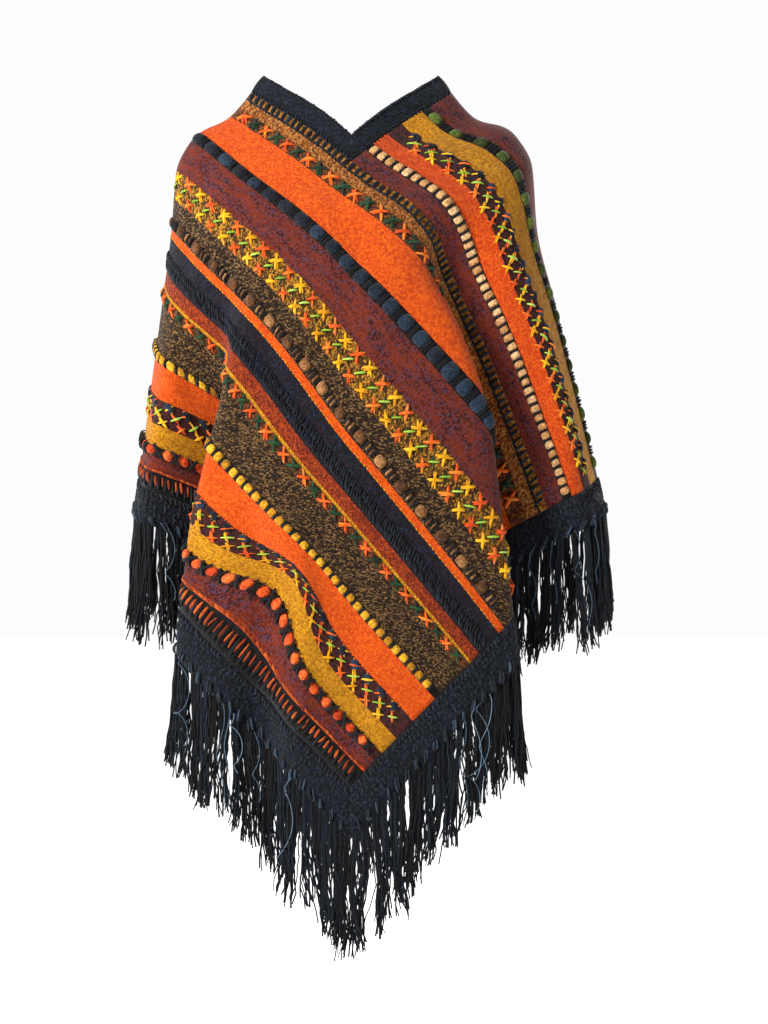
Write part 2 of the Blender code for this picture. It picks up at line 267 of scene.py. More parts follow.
class Wool(Enum):
    """Every wool finish on the poncho."""

    MAUVE = Knit("mauve_space_dyed_knit", ("2C0E10", "54191A", "702818", "4A3244"), "7E2C0C", 0.80, 0.040,
                 painted_gap_shade=0.35)
    ORANGE = Knit("orange_knit", ("BC3E04", "D04A04", "DE5606", "EA640C"), "D84A08", 0.4, 0.030,
                  painted_gap_shade=0.36, depth=0.0008, scatter=0.12)
    RED_ORANGE = Knit("red_orange_knit", ("B63804", "C84406", "D6500A", "E25E12"), "CC3C0A", 0.4, 0.030,
                      painted_gap_shade=0.36, depth=0.0008, scatter=0.12)
    MUSTARD = Knit("mustard_knit", ("9C6408", "B8780A", "C8860E", "D49418"), "A0640C", 0.5, 0.030,
                   painted_gap_shade=0.40, scatter=0.25)
    STAR_GROUND = Knit("brown_gold_knit", ("2E1C0C", "5E3C12", "966018", "C48A24"), "3E2610", 0.6, 0.016,
                       loop=(0.0026, 0.0018), painted_gap_shade=0.35, scatter=0.8, slant=-45)
    RUST = Knit("rust_knit", ("5A1A08", "7E280A", "94340E", "AC4412"), "6A200A", 0.6, 0.025)
    BROWN_TWEED = Knit("brown_tweed_knit", ("160C05", "26160A", "382210", "543A1C", "86643A"), "1C110A", 0.35,
                       0.016, loop=(0.0026, 0.0013), depth=0.0009, painted_gap_shade=0.30, scatter=0.8, slant=45)
    TAN_TWEED = Knit("tan_tweed_knit", ("4A280E", "7E4A18", "9A5E24", "BC8040"), "A05018", 0.5, 0.016,
                     loop=(0.0026, 0.0016), depth=0.0008, painted_gap_shade=0.35, scatter=0.7, slant=-45)
    LADDER_GROUND = Knit("ladder_ground_knit", ("5A3410", "8A5618", "A86E20", "BC8230"), "8A4814", 0.5)
    MAROON = Knit("maroon_knit", ("180A0E", "2E1016", "40181C", "4E2022"), "4A2410", 0.6, 0.02)
    CROSS_GROUND = Knit("cross_row_knit", ("2E1810", "4E2814", "6A3A18", "8E561E"), "4E1C10", 0.7, 0.016,
                        loop=(0.0026, 0.0018), scatter=0.7)
    NAVY_STRIPE = Knit("navy_stripe_knit", ("04050A", "090C14", "111725", "1E2638"), "2C0E12", 0.6, 0.02,
                       loop=(0.0024, 0.0018), depth=0.0010, painted_gap_shade=0.35, scatter=0.8)
    NAVY_KNIT = Knit("navy_heather_knit", ("030408", "060A12", "0B121D", "162436"), "080A12", 0.45, 0.018,
                     loop=(0.0026, 0.0020), depth=0.0012, painted_gap_shade=0.35, scatter=0.85)
    BLACK_GROUND = Knit("black_knit", ("060606", "0C0A0A", "141010", "1C1816"), "060608", 0.4)

    CROSS_ORANGE = Yarn("orange_yarn", "C83C08", "F4600E", "FF8C2C")
    CROSS_YELLOW = Yarn("yellow_yarn", "D08000", "F4AA04", "FFC820")
    CROSS_GREEN = Yarn("bottle_green_yarn", "081A0E", "12341C", "24502C")
    LIME = Yarn("lime_yarn", "789C20", "A0C83A", "C4E060")
    BLACK = Yarn("black_yarn", "050505", "0E0C0E", "1C1A1E", depth=0.0006)
    LADDER_BLACK = Yarn("blue_black_yarn", "070A10", "10161E", "24303C", depth=0.0006)
    NAVY_BEAD = Yarn("navy_looped_yarn", "060910", "0E1622", "223448", Lay.LOOPED, 0.0028, 0.0012)
    NAVY_YARN = Yarn("navy_yarn", "030408", "070B13", "121E30", grain=0.0017, depth=0.0007)
    TAN_BEAD = Yarn("tan_looped_yarn", "3A2010", "7E4E28", "B07C48", Lay.LOOPED, 0.0026, 0.0010)
    GOLD_BEAD = Yarn("gold_looped_yarn", "9A640A", "D08C0E", "EEB024", Lay.LOOPED, 0.0026, 0.0009)
    PEACH_BEAD = Yarn("peach_looped_yarn", "B07A44", "E0A468", "F2C48C", Lay.LOOPED, 0.0026, 0.0009)
    ORANGE_BEAD = Yarn("orange_looped_yarn", "B83408", "EC5418", "FA7430", Lay.LOOPED, 0.0030, 0.0009)
    GREEN_BEAD = Yarn("moss_looped_yarn", "1E280A", "3C4A14", "5E6E24", Lay.LOOPED, 0.0028, 0.0010)
    FRINGE_YARN = Yarn("navy_fringe_yarn", "020305", "05080D", "111D2B", grain=0.0022, depth=0.0005,
                       sheen=0.05)
    TEETH = Yarn("rust_orange_yarn", "5C1C06", "A43C0C", "CC5C1C")
    KNOT = Yarn("blue_grey_yarn", "080D14", "18232F", "3C5064", grain=0.0014, depth=0.0006)
    STRAY = Yarn("blue_grey_thread", "2A3C50", "4A647C", "7C98AC", grain=0.0012)


# ---- the worn form -------------------------------------------------------------------------------
@dataclass(frozen=True)
class Station:
    """How wide and deep a worn ring is at a distance rho from the crossing, in metres."""

    rho: float
    left: float
    right: float
    front: float
    back: float


@dataclass(frozen=True)
class Fold:
    """A fold of a quarter: its place from arm to centre, its width, and its share of the spare cloth."""

    rho: float
    place: float
    width: float
    share: float


@dataclass(frozen=True)
class Ripple:
    """A soft trough that starts low down and deepens to the hem."""

    place: float
    width: float
    depth: float
    start: float
    full: float


STATIONS = (
    Station(0.14, 0.099, 0.1015, 0.050, 0.052), Station(0.20, 0.137, 0.138, 0.064, 0.070),
    Station(0.26, 0.190, 0.187, 0.088, 0.098), Station(0.30, 0.208, 0.203, 0.108, 0.120),
    Station(0.37, 0.213, 0.208, 0.132, 0.146), Station(0.46, 0.234, 0.218, 0.152, 0.162),
    Station(0.56, 0.258, 0.230, 0.166, 0.172), Station(0.66, 0.281, 0.242, 0.176, 0.180),
    Station(0.80, 0.310, 0.258, 0.186, 0.190), Station(1.00, 0.340, 0.280, 0.190, 0.195),
)
LEFT_FOLD = (Fold(0.30, 0.66, 0.15, 1.00), Fold(0.37, 0.60, 0.13, 1.00), Fold(0.46, 0.52, 0.11, 1.00),
             Fold(0.58, 0.47, 0.10, 0.97), Fold(0.80, 0.47, 0.10, 0.95), Fold(1.00, 0.48, 0.10, 0.95))
RIGHT_FOLD = (Fold(0.30, 0.52, 0.14, 0.00), Fold(0.40, 0.52, 0.13, 0.15), Fold(0.50, 0.49, 0.12, 0.55),
              Fold(0.60, 0.44, 0.10, 1.00), Fold(0.70, 0.40, 0.09, 0.97), Fold(1.00, 0.38, 0.09, 0.95))
BACK_LEFT_FOLD = (Fold(0.30, 0.50, 0.15, 1.00), Fold(0.50, 0.46, 0.14, 1.00), Fold(1.00, 0.44, 0.14, 0.92))
BACK_RIGHT_FOLD = (Fold(0.30, 0.56, 0.15, 1.00), Fold(0.50, 0.51, 0.14, 1.00), Fold(1.00, 0.49, 0.14, 0.92))
FRONT_RIGHT_RIPPLE = Ripple(0.85, 0.055, 0.026, 0.72, 0.95)
BACK_LEFT_RIPPLE = Ripple(0.83, 0.060, 0.022, 0.70, 0.95)


def smooth(places: list[float], values: list[float], x: np.ndarray) -> np.ndarray:
    """Read a curve through table points, with no overshoot between them.

    Args:
        places: rising places of the table points.
        values: their values.
        x: places to read at.

    Returns:
        Cubic pieces whose slope at a point is the harmonic mean of the rises beside it, or 0 at a turn.
    """
    at, known = np.asarray(places, float), np.asarray(values, float)
    step = np.diff(at)
    rise = np.diff(known) / step
    slope = np.empty_like(known)
    slope[0], slope[-1] = rise[0], rise[-1]
    both = rise[:-1] * rise[1:]
    slope[1:-1] = np.where(both > 0, 2 * both / np.where(both > 0, rise[:-1] + rise[1:], 1), 0)
    x = np.clip(x, at[0], at[-1])
    k = np.clip(np.searchsorted(at, x) - 1, 0, len(step) - 1)
    t, h = (x - at[k]) / step[k], step[k]
    return ((1 + 2 * t) * (1 - t) ** 2 * known[k] + t * (1 - t) ** 2 * h * slope[k]
            + t * t * (3 - 2 * t) * known[k + 1] + t * t * (t - 1) * h * slope[k + 1])


@dataclass
class Quarter:
    """One quarter of the worn rings, from an arm side (t = 0) to the centre line (t = 1)."""

    side: str
    face: str
    folds: tuple[Fold, ...]
    power: float
    ripple: Ripple | None = None
    rows: int = 139             # rings between the first and last station
    points: int = 400           # points along a ring before it is measured
    steps: int = 96             # equal lengths that a ring is cut into
    lean: float = 0.30          # how far a fold turns from square to the ring towards the body's middle

    def __post_init__(self) -> None:
        """Read every table at the rings and find each ring's fold depth."""
        places = [s.rho for s in STATIONS]
        self.rho = np.linspace(places[0], places[-1], self.rows)
        self.half = smooth(places, [getattr(s, self.side) for s in STATIONS], self.rho)
        self.deep = smooth(places, [getattr(s, self.face) for s in STATIONS], self.rho)
        self.square = np.interp(self.rho, (0.14, 0.20, 0.28, 0.36, 0.50), (1.3, 1.5, 1.8, 2.1, self.power))
        fold_rho = [f.rho for f in self.folds]
        self.place = smooth(fold_rho, [f.place for f in self.folds], self.rho)
        self.width = smooth(fold_rho, [f.width for f in self.folds], self.rho)
        self.share = smooth(fold_rho, [f.share for f in self.folds], self.rho)
        self.depth = self.fold_depths()

    def curve(self, depth: np.ndarray) -> tuple[np.ndarray, np.ndarray]:
        """Work out all quarter rings at once.

        Args:
            depth: fold depth of each ring.

        Returns:
            x and y, one row for each ring. A ring is a superellipse, cosine and sine to the power
            2 / squareness, moved inwards by depth times exp(-|u| to the 2.5), where u is the place along it
            from the fold's middle over the fold's width; a ripple adds a bell of its own.
        """
        t = np.linspace(0, 1, self.points)[None, :]
        angle = t * pi / 2
        half, deep, square = self.half[:, None], self.deep[:, None], self.square[:, None]
        x = half * np.abs(np.cos(angle)) ** (2 / square)
        y = deep * np.sin(angle) ** (2 / square)
        out_x, out_y = np.cos(angle) / half, np.sin(angle) / deep
        size = np.hypot(out_x, out_y)
        place = self.place[:, None]
        u = (t - place) / self.width[:, None]
        fold_x = np.cos(place * pi / 2) / half + self.lean / deep
        fold_y = np.sin(place * pi / 2) / deep
        inward = depth[:, None] * np.exp(-np.abs(u) ** 2.5) / np.hypot(fold_x, fold_y)
        x, y = x - inward * fold_x, y - inward * fold_y
        if self.ripple:
            r = self.ripple
            grown = np.clip((self.rho[:, None] - r.start) / (r.full - r.start), 0, 1.2) ** 1.3
            bell = r.depth * grown * np.exp(-((t - r.place) / r.width) ** 2) / size
            x, y = x - bell * out_x, y - bell * out_y
        return x, y

    def fold_depths(self) -> np.ndarray:
        """Find the fold depths that make each ring a quarter of pi times rho long, then even them out."""
        low, high = np.zeros(self.rows), np.full(self.rows, 0.30)
        for _ in range(26):
            middle = (low + high) / 2
            x, y = self.curve(middle)
            short = np.hypot(np.diff(x), np.diff(y)).sum(axis=1) < self.rho * pi / 4
            low, high = np.where(short, middle, low), np.where(short, high, middle)
        depth = low * self.share
        window = np.hanning(19) / np.hanning(19).sum()
        last = (depth[-1] - depth[-2]) * np.arange(1, 10)
        return np.convolve(np.concatenate([np.full(9, depth[0]), depth, depth[-1] + last]), window, "valid")

    def rings(self) -> np.ndarray:
        """Return x and y at equal lengths along each quarter ring."""
        x, y = self.curve(self.depth)
        made = np.empty((self.rows, self.steps + 1, 2))
        for row in range(self.rows):
            run = np.append(0, np.cumsum(np.hypot(np.diff(x[row]), np.diff(y[row]))))
            stops = np.linspace(0, run[-1], self.steps + 1)
            made[row] = np.stack([np.interp(stops, run, x[row]), np.interp(stops, run, y[row])], axis=1)
        return made


class Face(Enum):
    """Which panel of the poncho."""

    FRONT = "front"
    BACK = "back"


class Hand(Enum):
    """Which side of the wearer."""

    LEFT = "left"
    RIGHT = "right"


@dataclass(frozen=True)
class Crease:
    """A soft pull in the cloth from one flat place to another: a trough where depth is above 0."""

    face: Face
    start: tuple[float, float]
    end: tuple[float, float]
    width: float
    depth: float


CREASES = (
    Crease(Face.FRONT, (0.20, 0.30), (0.36, 0.55), 0.020, 0.0030),
    Crease(Face.FRONT, (0.30, 0.24), (0.46, 0.42), 0.024, -0.0028),
    Crease(Face.FRONT, (0.05, 0.27), (0.13, 0.52), 0.018, 0.0035),
    Crease(Face.FRONT, (0.12, 0.36), (0.22, 0.60), 0.022, -0.0030),
    Crease(Face.FRONT, (0.42, 0.10), (0.62, 0.14), 0.016, 0.0030),
    Crease(Face.FRONT, (0.38, 0.53), (0.53, 0.69), 0.020, 0.0080),
    Crease(Face.FRONT, (0.42, 0.50), (0.58, 0.66), 0.022, -0.0065),
    Crease(Face.FRONT, (0.48, 0.44), (0.62, 0.62), 0.022, 0.0032),
    Crease(Face.FRONT, (0.40, 0.52), (0.52, 0.66), 0.018, -0.0028),
    Crease(Face.FRONT, (0.17, 0.20), (0.26, 0.24), 0.016, 0.0022),
    Crease(Face.BACK, (0.22, 0.28), (0.40, 0.52), 0.024, 0.0032),
    Crease(Face.BACK, (0.34, 0.26), (0.50, 0.40), 0.020, -0.0026),
    Crease(Face.BACK, (0.06, 0.30), (0.12, 0.50), 0.020, 0.0034),
    Crease(Face.BACK, (0.44, 0.08), (0.60, 0.16), 0.020, 0.0028),
    Crease(Face.BACK, (0.46, 0.50), (0.60, 0.64), 0.020, -0.0030),
    Crease(Face.BACK, (0.20, 0.46), (0.34, 0.64), 0.018, 0.0026),
)


@dataclass(frozen=True)
class Slide:
    """A place where the stripes have slid across themselves: its middle, its reach and how far they slid."""

    face: Face
    middle: tuple[float, float]
    reach: float
    by: float


SLIDES = (
    Slide(Face.FRONT, (0.46, 0.60), 0.06, -0.040),
    Slide(Face.BACK, (0.52, 0.42), 0.09, 0.022), Slide(Face.BACK, (0.44, 0.59), 0.06, -0.020),
    Slide(Face.BACK, (0.30, 0.30), 0.07, 0.010),
)


@dataclass(frozen=True)
class Drift:
    """A belt of stripes that the cloth's weight carries across itself, more and more down the panel."""

    face: Face
    low: float      # where the belt starts across the stripes
    high: float     # where it ends
    lean: float     # under 1 brings its middle nearer the start, over 1 nearer the end
    by: float       # how far its middle has slid at the hem
    start: float    # where along the stripes it begins


DRIFTS = (Drift(Face.FRONT, 0.20, 0.66, 0.6, 0.060, 0.05), Drift(Face.FRONT, 0.00, 0.27, 1.4, -0.035, 0.20))


class Drape:
    """The worn cloth's middle surface, read at flat places p and q.

    A ring of equal distance rho from the crossing is the four quarters joined; its height falls so that each
    line of equal angle phi keeps its length: the fall is the root of one minus the square of the plan's run.
    """

    def __init__(self) -> None:
        """Build the table of points, one row for each ring."""
        front_left = Quarter("left", "front", LEFT_FOLD, 2.3)
        front_right = Quarter("right", "front", RIGHT_FOLD, 2.8, FRONT_RIGHT_RIPPLE)
        back_left = Quarter("left", "back", BACK_LEFT_FOLD, 2.4, BACK_LEFT_RIPPLE)
        back_right = Quarter("right", "back", BACK_RIGHT_FOLD, 2.4)
        self.rho = front_left.rho
        a, b, c, d = (quarter.rings() for quarter in (front_left, front_right, back_right, back_left))
        plan = np.concatenate([a[:, :-1] * (1, -1), b[:, :0:-1] * (-1, -1), c[:, :-1] * (-1, 1), d[:, :0:-1]],
                              axis=1)
        phi = np.linspace(0, pi, plan.shape[1], endpoint=False)
        step = self.rho[1] - self.rho[0]
        run = (np.diff(plan, axis=0) ** 2).sum(axis=2) / step ** 2
        fall = np.sqrt(np.clip(1 - run, 0.04, 1)) * step
        right = np.clip(1 - abs(phi - pi / 2) / (pi / 7), 0, 1)
        fall = fall * (1 - (1 - RIGHT_TAKE_UP) * right * right * (3 - 2 * right))
        top = -NECK_DIP * (1 - (1 - abs(np.sin(2 * phi))) ** 2)
        height = top - np.vstack([np.zeros(len(phi)), np.cumsum(fall, axis=0)])
        self.table = np.dstack([plan, height])

    @staticmethod
    def weights(t: np.ndarray) -> tuple[np.ndarray, ...]:
        """Return the four weights of a smooth curve at share t of its middle span."""
        return ((-t + 2 * t * t - t ** 3) / 2, (2 - 5 * t * t + 3 * t ** 3) / 2,
                (t + 4 * t * t - 3 * t ** 3) / 2, (t ** 3 - t * t) / 2)

    def polar(self, rho: np.ndarray, phi: np.ndarray) -> np.ndarray:
        """Return the middle surface's points at distances rho and angles phi."""
        rows, columns = self.table.shape[:2]
        a = np.clip((rho - self.rho[0]) / (self.rho[1] - self.rho[0]), 0, rows - 1.001)
        b = phi / pi * columns
        i, j = np.floor(a).astype(int), np.floor(b).astype(int)
        found = np.zeros(np.shape(a) + (3,))
        for di, wi in enumerate(self.weights(a - i)):
            for dj, wj in enumerate(self.weights(b - j)):
                cell = self.table[np.clip(i + di - 1, 0, rows - 1), (j + dj - 1) % columns]
                found += (wi * wj)[..., None] * cell
        return found

    @staticmethod
    def creased(p: np.ndarray, q: np.ndarray, face: Face) -> np.ndarray:
        """Add up the creases: each is minus its depth times a bell of the distance from its line."""
        total = np.zeros(np.shape(p))
        for crease in (c for c in CREASES if c.face is face):
            (sp, sq), (ep, eq) = crease.start, crease.end
            dp, dq = ep - sp, eq - sq
            along = np.clip(((p - sp) * dp + (q - sq) * dq) / (dp * dp + dq * dq), 0, 1)
            away = np.hypot(p - sp - along * dp, q - sq - along * dq)
            total -= crease.depth * np.exp(-(away / crease.width) ** 2)
        return total

    @staticmethod
    def slid(p: np.ndarray, q: np.ndarray, face: Face) -> np.ndarray:
        """Return q after the slides and drifts.

        A slide adds its distance times a bell round its middle, faded out at the hem. A drift adds its
        distance times the squared sine of a half turn across its belt, and grows in a straight line with p.
        """
        total = np.zeros(np.broadcast(p, q).shape)
        for slide in (one for one in SLIDES if one.face is face):
            away = np.hypot(p - slide.middle[0], q - slide.middle[1]) / slide.reach
            total += slide.by * np.exp(-away ** 2)
        total *= np.clip((0.664 - q) / 0.040, 0, 1)
        for drift in (one for one in DRIFTS if one.face is face):
            share = np.clip((q - drift.low) / (drift.high - drift.low), 0, 1)
            grown = np.clip((p - drift.start) / (SIDE - drift.start), 0, 1)
            total += drift.by * np.sin(pi * share ** drift.lean) ** 2 * grown
        return q + total

    def place(self, p: np.ndarray, q: np.ndarray, h: np.ndarray | float, face: Face,
              slide: bool = False) -> np.ndarray:
        """Carry flat places onto the worn cloth.

        Args:
            p: places along the stripes.
            q: places across them.
            h: heights off the cloth's middle.
            face: the panel.
            slide: whether they slide with the stripes.

        Returns:
            Points: the middle surface's point, moved out along its normal by h and the creases.
        """
        lifted = self.creased(p, q, face)
        q = self.slid(p, q, face) if slide else q
        rho, phi = np.hypot(p, q), np.arctan2(q, p)
        phi = pi - phi if face is Face.BACK else phi
        small = 0.0015
        down = self.polar(rho + small, phi) - self.polar(rho - small, phi)
        round_ = self.polar(rho, phi + small / rho) - self.polar(rho, phi - small / rho)
        out = np.cross(round_, down)
        out /= np.linalg.norm(out, axis=-1, keepdims=True)
        return self.polar(rho, phi) + (h + lifted)[..., None] * out


# ---- making meshes -------------------------------------------------------------------------------
@dataclass
class Piece:
    """One finished piece: closed strands and shells gathered into a single mesh."""

    name: str
    slot: str
    points: list[np.ndarray] = field(default_factory=list)
    flats: list[np.ndarray] = field(default_factory=list)
    tones: list[np.ndarray] = field(default_factory=list)
    faces: list[np.ndarray] = field(default_factory=list)
    wools: list[np.ndarray] = field(default_factory=list)
    palette: list[Wool] = field(default_factory=list)
    count: int = 0

    def add(self, points: np.ndarray, flat: np.ndarray, tone: np.ndarray, faces: list[np.ndarray],
            wools: list[np.ndarray]) -> None:
        """Gather points and faces.

        Args:
            points: points, n by 3.
            flat: their pattern places in metres, n by 2.
            tone: their tone from 0 to 1.
            faces: arrays of corner numbers, each of faces with the same number of corners.
            wools: for each of those arrays, its faces' numbers in the palette.
        """
        self.points.append(points)
        self.flats.append(flat)
        self.tones.append(tone)
        self.faces += [f + self.count for f in faces]
        self.wools += wools
        self.count += len(points)

    def index(self, wool: Wool) -> int:
        """Return the finish's number in this piece's palette."""
        if wool not in self.palette:
            self.palette.append(wool)
        return self.palette.index(wool)

    def tubes(self, points: np.ndarray, flat: np.ndarray, tone: np.ndarray, wool: Wool,
              flip: bool = False) -> None:
        """Gather closed tubes.

        Args:
            points: n tubes by rings by sides by 3.
            flat: pattern places, n by rings by sides by 2.
            tone: one tone for each tube.
            wool: their finish.
            flip: whether their sides turn the other way.
        """
        n, rings, sides = points.shape[:3]
        at = np.arange(n * rings * sides).reshape(n, rings, sides)
        nxt = np.roll(at, -1, axis=2)
        walls = np.stack([at[:, :-1], nxt[:, :-1], nxt[:, 1:], at[:, 1:]], axis=-1).reshape(-1, 4)
        caps = np.concatenate([at[:, 0, ::-1], at[:, -1]])
        if flip:
            walls, caps = walls[:, ::-1], caps[:, ::-1]
        mine = self.index(wool)
        self.add(points.reshape(-1, 3), flat.reshape(-1, 2), np.repeat(tone, rings * sides), [walls, caps],
                 [np.full(len(walls), mine), np.full(len(caps), mine)])

    def shell(self, outer: np.ndarray, inner: np.ndarray, flat: np.ndarray, quads: np.ndarray,
              wools: np.ndarray) -> None:
        """Gather a closed shell between two like surfaces, with a rim on every open edge.

        Args:
            outer: outer points, n by 3.
            inner: inner points, n by 3.
            flat: pattern places, n by 2.
            quads: faces between the points, m by 4, facing either way.
            wools: each face's number in the palette.
        """
        a, b, c, d = (outer[quads[:, k]] for k in range(4))
        facing = (np.cross(c - a, d - b) * (outer - inner)[quads[:, 0]]).sum()
        if facing < 0:
            quads = quads[:, ::-1]
        n = len(outer)
        edges = np.stack([quads, np.roll(quads, -1, axis=1)], axis=-1).reshape(-1, 2)
        owner = np.repeat(wools, 4)
        lone = ~np.isin(edges[:, 0] * n + edges[:, 1], edges[:, 1] * n + edges[:, 0])
        first, second = edges[lone].T
        rim = np.stack([second, first, first + n, second + n], axis=-1)
        self.add(np.concatenate([outer, inner]), np.concatenate([flat, flat]), np.full(2 * n, 0.5),
                 [quads, quads[:, ::-1] + n, rim], [wools, wools, owner[lone]])

    def write(self, *replaced: str) -> bpy.types.Object:
        """Write the mesh, dress it and tie it to the frame.

        Args:
            replaced: the nodes that it stands for.

        Returns:
            The finished object.
        """
        points = np.concatenate(self.points).astype(np.float32)
        loops = np.concatenate([f.ravel() for f in self.faces]).astype(np.int32)
        sizes = np.concatenate([np.full(len(f), f.shape[1]) for f in self.faces]).astype(np.int32)
        mesh = bpy.data.meshes.new(self.name)
        mesh.vertices.add(len(points))
        mesh.vertices.foreach_set("co", points.ravel())
        mesh.loops.add(len(loops))
        mesh.loops.foreach_set("vertex_index", loops)
        mesh.polygons.add(len(sizes))
        mesh.polygons.foreach_set("loop_start", np.append(0, np.cumsum(sizes)[:-1]).astype(np.int32))
        mesh.polygons.foreach_set("loop_total", sizes)
        mesh.polygons.foreach_set("material_index", np.concatenate(self.wools).astype(np.int32))
        mesh.polygons.foreach_set("use_smooth", np.ones(len(sizes), bool))
        mesh.update(calc_edges=True)
        flat = mesh.uv_layers.new(name="flat")
        flat.data.foreach_set("uv", np.concatenate(self.flats)[loops].astype(np.float32).ravel())
        tone = mesh.attributes.new("tone", "FLOAT", "POINT")
        tone.data.foreach_set("value", np.concatenate(self.tones).astype(np.float32))
        for wool in self.palette:
            mesh.materials.append(Dyes.material(wool))
        made = bpy.data.objects.new(self.name, mesh)
        bpy.context.collection.objects.link(made)
        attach(made, "root")
        if replaced:
            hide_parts(*replaced)
        LOG.info("%s: %d points, %d faces", self.name, len(points), len(sizes))
        return made


class Dyes:
    """Keeps each finish's material, so that pieces share it."""

    made: dict[Wool, bpy.types.Material] = {}

    @classmethod
    def material(cls, wool: Wool) -> bpy.types.Material:
        """Return the finish's material, built once."""
        if wool not in cls.made:
            cls.made[wool] = wool.value.material()
        return cls.made[wool]


@dataclass(frozen=True)
class Bar:
    """One kind of laid strand, puff or wrap, in metres and degrees from the stripe's direction."""

    wool: Wool
    angle: float
    length: float
    width: float = 0.0021
    thick: float = 0.0021
    lift: float = 0.0012        # how high its middle stands over the cloth
    strands: int = 1
    spacing: float = 0.0019
    blunt: float = 3.0          # 2 has round ends, more has square ones
    rings: int = 6
    sides: int = 6
    loose: float = 1.0          # how uneven it is


@dataclass
class Needle:
    """Lays strands on one panel of the worn cloth."""

    drape: Drape
    face: Face
    rng: np.random.Generator
    slide: bool = False

    def lay(self, piece: Piece, centres: np.ndarray, bar: Bar) -> None:
        """Lay a bar at each flat place.

        Each strand is a tube along s from 0 to 1. Its half width and half thickness are scaled by the root of
        1 - |2s - 1| to the power blunt, so that it dips into the cloth at both ends.

        Args:
            piece: the piece that takes the strands.
            centres: flat places, n by 2.
            bar: the kind of strand.
        """
        n, rng = len(centres), self.rng
        turn = radians(bar.angle) + rng.normal(0, 0.05 * bar.loose, n)
        along = np.stack([np.cos(turn), np.sin(turn)], axis=1)[:, None]
        aside = along[..., ::-1] * (-1, 1)
        shift = ((np.arange(bar.strands) - (bar.strands - 1) / 2) * bar.spacing)[None, :, None]
        size = (n, bar.strands, 1)
        middle = centres[:, None] + aside * shift + rng.normal(0, 0.0003 * bar.loose, (n, bar.strands, 2))
        half = along * bar.length / 2 * (1 + 0.08 * bar.loose * rng.uniform(-1, 1, size))
        middle, half = middle.reshape(-1, 2), half.reshape(-1, 2)
        girth = (1 + 0.10 * bar.loose * rng.uniform(-1, 1, size)).reshape(-1, 1, 1)
        reach = np.linalg.norm(half, axis=1)[:, None, None]
        s = ((1 - np.cos(np.linspace(0.07, 0.93, bar.rings) * pi)) - 1)[None, :, None]
        swell = np.sqrt(1 - np.abs(s) ** bar.blunt)
        theta = (np.arange(bar.sides) / bar.sides * 2 * pi - pi / 2)[None, None, :]
        side = np.cos(theta) * bar.width / 2 * swell * girth
        h = (WALL / 2 + bar.lift * (2 * swell - 1) * girth + np.sin(theta) * bar.thick / 2 * swell * girth)
        way = half / np.linalg.norm(half, axis=1, keepdims=True)
        p = middle[:, 0, None, None] + half[:, 0, None, None] * s - way[:, 1, None, None] * side
        q = middle[:, 1, None, None] + half[:, 1, None, None] * s + way[:, 0, None, None] * side
        flat = np.stack(np.broadcast_arrays(reach * s, (theta + pi / 2) / 2 * bar.width + 0 * p), axis=-1)
        tone = rng.uniform(0, 1, len(middle))
        piece.tubes(self.drape.place(p, q, h, self.face, self.slide), flat, tone, bar.wool,
                    self.face is Face.FRONT)


def places(start: float, stop: float, pitch: float, q: float, offset: float = 0.0) -> np.ndarray:
    """Return flat places at an even pitch along a stripe, n by 2."""
    p = np.arange(start + pitch * (0.5 + offset), stop - pitch * 0.35, pitch)
    return np.stack([p, np.full(len(p), q)], axis=1)


# ---- the striped panels --------------------------------------------------------------------------
# Each stripe ends at the first number, in metres across the cloth.
STRIPES = (
    (0.1735, Wool.LADDER_GROUND), (0.1755, Wool.BLACK_GROUND), (0.188, Wool.TAN_TWEED),
    (0.203, Wool.CROSS_GROUND), (0.2435, Wool.ORANGE), (0.258, Wool.BLACK_GROUND), (0.297, Wool.MAUVE),
    (0.330, Wool.STAR_GROUND), (0.350, Wool.BROWN_TWEED), (0.366, Wool.BROWN_TWEED), (0.376, Wool.ORANGE),
    (0.415, Wool.NAVY_STRIPE), (0.432, Wool.RUST), (0.436, Wool.MUSTARD), (0.449, Wool.CROSS_GROUND),
    (0.4985, Wool.BROWN_TWEED), (0.511, Wool.BLACK_GROUND), (0.5555, Wool.ORANGE), (0.587, Wool.MAROON),
    (0.6125, Wool.MUSTARD), (0.625, Wool.MAROON), (0.640, Wool.MAUVE), (0.643, Wool.RED_ORANGE),
    (0.6655, Wool.BLACK_GROUND),
)
SHOULDER_STRIPES = (
    (0.038, Wool.MAUVE), (0.050, Wool.BLACK_GROUND), (0.080, Wool.MUSTARD), (0.105, Wool.MAROON),
    (0.130, Wool.RED_ORANGE), (0.143, Wool.BLACK_GROUND), (0.1655, Wool.MAUVE),
)


